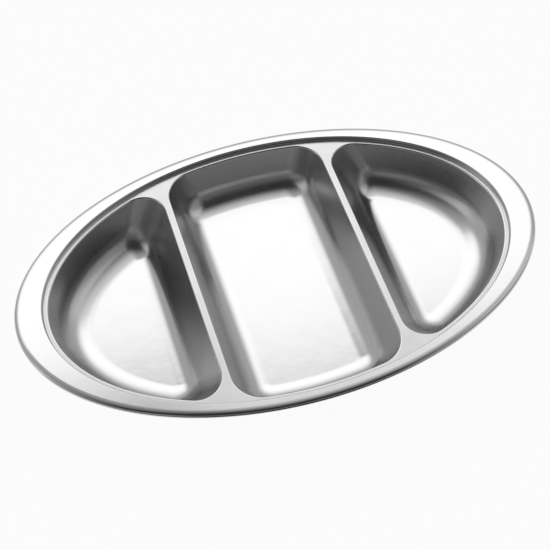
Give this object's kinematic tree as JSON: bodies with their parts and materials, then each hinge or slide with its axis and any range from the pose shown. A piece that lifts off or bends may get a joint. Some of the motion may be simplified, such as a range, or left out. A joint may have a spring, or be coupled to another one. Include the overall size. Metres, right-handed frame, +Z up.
{
  "type": "divided serving dish",
  "caption": "Shallow oval serving dish pressed from stainless sheet, with a rolled rim, a stepped ledge and hollow ridges dividing it into a centre well and end wells.",
  "frame": {"origin": "on the table, under the middle of the centre well's floor", "axes": "+X along the dish's length, +Y across it, +Z up out of the wells"},
  "size_m": [0.35, 0.214, 0.032],
  "materials": {
    "stainless": "satin-polished stainless steel, brighter on the flange"
  },
  "bodies": {
    "root": {"dish": "stainless"}
  },
  "joints": []
}
